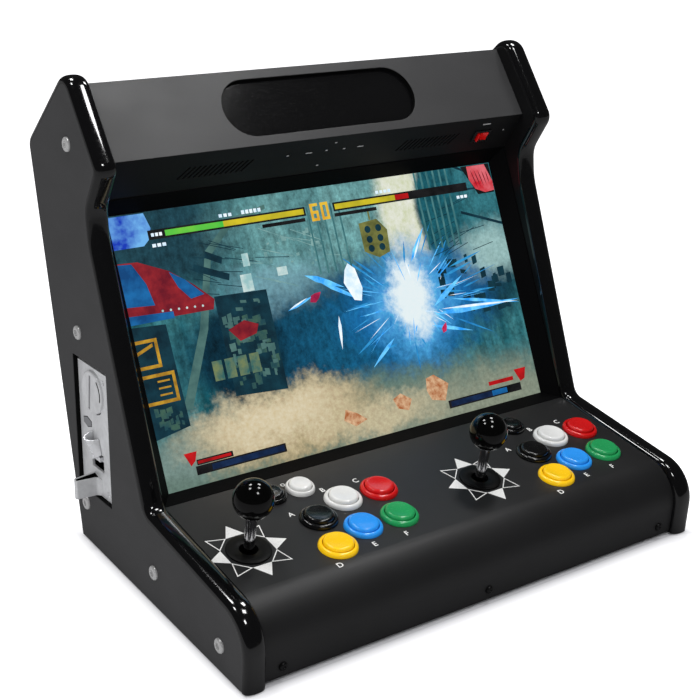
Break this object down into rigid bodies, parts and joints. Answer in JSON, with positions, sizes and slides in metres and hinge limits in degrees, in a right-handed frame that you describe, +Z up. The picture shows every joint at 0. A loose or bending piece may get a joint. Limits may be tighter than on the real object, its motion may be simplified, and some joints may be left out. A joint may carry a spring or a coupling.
{
  "type": "arcade cabinet",
  "caption": "Tabletop arcade cabinet: raked widescreen between shaped side panels, sloping control panel with ball-top joysticks and push buttons, coin unit in one side.",
  "frame": {"origin": "middle of the footprint's bounding box, on the plane the rubber feet stand on", "axes": "+X across the cabinet to the players' right, +Y from front to back, +Z up"},
  "size_m": [0.526, 0.3856, 0.4258],
  "materials": {
    "side_laminate": "matte black laminate on board",
    "edge_trim": "glossy black extruded trim",
    "case_board": "satin black paint",
    "rear_paint": "matte black paint",
    "panel_coat": "fine satin powder coat",
    "bezel_plastic": "moulded black",
    "screen_glass": "lit screen under a satin film",
    "smoked_acrylic": "dark gloss acrylic",
    "steel_casing": "galvanised sheet",
    "button_black": "moulded gloss",
    "button_white": "moulded gloss",
    "button_red": "moulded gloss",
    "button_yellow": "moulded gloss",
    "button_blue": "moulded gloss",
    "button_green": "moulded gloss",
    "switch_plastic": "moulded black",
    "housing_plastic": "moulded nylon",
    "stick_chrome": "polished",
    "ball_black": "polished phenolic",
    "washer_black": "smooth black",
    "zinc_bolts": "zinc plated",
    "black_screws": "black oxide",
    "foot_rubber": "matte",
    "rail_wood": "planed softwood",
    "speaker_black": "pressed and coated",
    "rocker_black": "moulded",
    "rocker_red": "translucent red moulding",
    "die_cast": "satin die-cast zinc",
    "lever_chrome": "polished",
    "coin_body": "moulded black",
    "circuit_board": "green laminate",
    "supply_casing": "bare sheet"
  },
  "bodies": {
    "root": {"right_side_panel": "side_laminate", "left_side_panel": "side_laminate", "right_edge_moulding": "edge_trim", "left_edge_moulding": "edge_trim", "base_panel": "rear_paint", "speaker_panel": "case_board", "marquee_panel": "case_board", "marquee_window": "smoked_acrylic", "top_rear_panel": "case_board", "rear_panel": "rear_paint", "screen_bezel": "bezel_plastic", "lcd_panel": "screen_glass", "monitor_housing": "steel_casing", "control_panel": "panel_coat", "button_collars_black": "button_black", "button_collars_white": "button_white", "button_collars_red": "button_red", "button_collars_yellow": "button_yellow", "button_collars_blue": "button_blue", "button_collars_green": "button_green", "microswitches": "switch_plastic", "joystick_housings": "housing_plastic", "dust_washers": "washer_black", "side_bolts": "zinc_bolts", "panel_screws": "black_screws", "rubber_feet": "foot_rubber", "cross_rails": "rail_wood", "speakers": "speaker_black", "display_buttons": "switch_plastic", "power_switch_frame": "rocker_black", "power_inlet": "rocker_black", "coin_plate": "die_cast", "coin_selector": "coin_body", "coin_box": "steel_casing", "game_board": "circuit_board", "power_supply": "supply_casing"},
    "p1_button_a": {"p1_button_a": "button_black"},
    "p1_button_b": {"p1_button_b": "button_white"},
    "p1_button_c": {"p1_button_c": "button_red"},
    "p1_button_d": {"p1_button_d": "button_yellow"},
    "p1_button_e": {"p1_button_e": "button_blue"},
    "p1_button_f": {"p1_button_f": "button_green"},
    "p2_button_a": {"p2_button_a": "button_black"},
    "p2_button_b": {"p2_button_b": "button_white"},
    "p2_button_c": {"p2_button_c": "button_red"},
    "p2_button_d": {"p2_button_d": "button_yellow"},
    "p2_button_e": {"p2_button_e": "button_blue"},
    "p2_button_f": {"p2_button_f": "button_green"},
    "p1_start_button": {"p1_start_button": "button_white"},
    "p1_coin_button": {"p1_coin_button": "button_black"},
    "p2_start_button": {"p2_start_button": "button_black"},
    "p1_stick_gimbal": {"p1_stick_gimbal": "housing_plastic"},
    "p1_stick": {"p1_stick_shaft": "stick_chrome", "p1_ball_top": "ball_black"},
    "p2_stick_gimbal": {"p2_stick_gimbal": "housing_plastic"},
    "p2_stick": {"p2_stick_shaft": "stick_chrome", "p2_ball_top": "ball_black"},
    "power_rocker": {"power_rocker": "rocker_red"},
    "coin_reject_button": {"coin_reject_button": "die_cast"},
    "coin_return_lever": {"coin_return_lever": "lever_chrome"}
  },
  "joints": [
    {"name": "p1_button_a_press", "type": "slide", "parent": "root", "child": "p1_button_a", "axis": [0, 0.1115, -0.9938], "range_m": [0, 0.0025], "stiffness_N_per_m": 250, "springref_m": -0.001},
    {"name": "p1_button_b_press", "type": "slide", "parent": "root", "child": "p1_button_b", "axis": [0, 0.1115, -0.9938], "range_m": [0, 0.0025], "stiffness_N_per_m": 250, "springref_m": -0.001},
    {"name": "p1_button_c_press", "type": "slide", "parent": "root", "child": "p1_button_c", "axis": [0, 0.1115, -0.9938], "range_m": [0, 0.0025], "stiffness_N_per_m": 250, "springref_m": -0.001},
    {"name": "p1_button_d_press", "type": "slide", "parent": "root", "child": "p1_button_d", "axis": [0, 0.1115, -0.9938], "range_m": [0, 0.0025], "stiffness_N_per_m": 250, "springref_m": -0.001},
    {"name": "p1_button_e_press", "type": "slide", "parent": "root", "child": "p1_button_e", "axis": [0, 0.1115, -0.9938], "range_m": [0, 0.0025], "stiffness_N_per_m": 250, "springref_m": -0.001},
    {"name": "p1_button_f_press", "type": "slide", "parent": "root", "child": "p1_button_f", "axis": [0, 0.1115, -0.9938], "range_m": [0, 0.0025], "stiffness_N_per_m": 250, "springref_m": -0.001},
    {"name": "p2_button_a_press", "type": "slide", "parent": "root", "child": "p2_button_a", "axis": [0, 0.1115, -0.9938], "range_m": [0, 0.0025], "stiffness_N_per_m": 250, "springref_m": -0.001},
    {"name": "p2_button_b_press", "type": "slide", "parent": "root", "child": "p2_button_b", "axis": [0, 0.1115, -0.9938], "range_m": [0, 0.0025], "stiffness_N_per_m": 250, "springref_m": -0.001},
    {"name": "p2_button_c_press", "type": "slide", "parent": "root", "child": "p2_button_c", "axis": [0, 0.1115, -0.9938], "range_m": [0, 0.0025], "stiffness_N_per_m": 250, "springref_m": -0.001},
    {"name": "p2_button_d_press", "type": "slide", "parent": "root", "child": "p2_button_d", "axis": [0, 0.1115, -0.9938], "range_m": [0, 0.0025], "stiffness_N_per_m": 250, "springref_m": -0.001},
    {"name": "p2_button_e_press", "type": "slide", "parent": "root", "child": "p2_button_e", "axis": [0, 0.1115, -0.9938], "range_m": [0, 0.0025], "stiffness_N_per_m": 250, "springref_m": -0.001},
    {"name": "p2_button_f_press", "type": "slide", "parent": "root", "child": "p2_button_f", "axis": [0, 0.1115, -0.9938], "range_m": [0, 0.0025], "stiffness_N_per_m": 250, "springref_m": -0.001},
    {"name": "p1_start_button_press", "type": "slide", "parent": "root", "child": "p1_start_button", "axis": [0, 0.1115, -0.9938], "range_m": [0, 0.0025], "stiffness_N_per_m": 250, "springref_m": -0.001},
    {"name": "p1_coin_button_press", "type": "slide", "parent": "root", "child": "p1_coin_button", "axis": [0, 0.1115, -0.9938], "range_m": [0, 0.0025], "stiffness_N_per_m": 250, "springref_m": -0.001},
    {"name": "p2_start_button_press", "type": "slide", "parent": "root", "child": "p2_start_button", "axis": [0, 0.1115, -0.9938], "range_m": [0, 0.0025], "stiffness_N_per_m": 250, "springref_m": -0.001},
    {"name": "p1_stick_tilt_fore_aft", "type": "hinge", "parent": "root", "child": "p1_stick_gimbal", "pos_m": [-0.19095, -0.10434, 0.05811], "axis": [1, 0, 0], "range_deg": [-8, 8], "stiffness_Nm_per_rad": 0.6},
    {"name": "p1_stick_tilt_side", "type": "hinge", "parent": "p1_stick_gimbal", "child": "p1_stick", "pos_m": [-0.19095, -0.10434, 0.05811], "axis": [0, 0.9938, 0.1115], "range_deg": [-8, 8], "stiffness_Nm_per_rad": 0.6},
    {"name": "p2_stick_tilt_fore_aft", "type": "hinge", "parent": "root", "child": "p2_stick_gimbal", "pos_m": [0.05945, -0.10434, 0.05811], "axis": [1, 0, 0], "range_deg": [-8, 8], "stiffness_Nm_per_rad": 0.6},
    {"name": "p2_stick_tilt_side", "type": "hinge", "parent": "p2_stick_gimbal", "child": "p2_stick", "pos_m": [0.05945, -0.10434, 0.05811], "axis": [0, 0.9938, 0.1115], "range_deg": [-8, 8], "stiffness_Nm_per_rad": 0.6},
    {"name": "power_rocker_tilt", "type": "hinge", "parent": "root", "child": "power_rocker", "pos_m": [0.19685, 0.08796, 0.33776], "axis": [0, -0.5135, 0.8581], "range_deg": [-16, 0]},
    {"name": "coin_reject_press", "type": "slide", "parent": "root", "child": "coin_reject_button", "axis": [1, 0, 0], "range_m": [0, 0.003], "stiffness_N_per_m": 200, "springref_m": -0.001},
    {"name": "coin_return_swing", "type": "hinge", "parent": "root", "child": "coin_return_lever", "pos_m": [-0.23635, 0.07206, 0.08952], "axis": [0, -0.9981, 0.061], "range_deg": [0, 20], "stiffness_Nm_per_rad": 0.08, "springref_deg": -20.05}
  ]
}
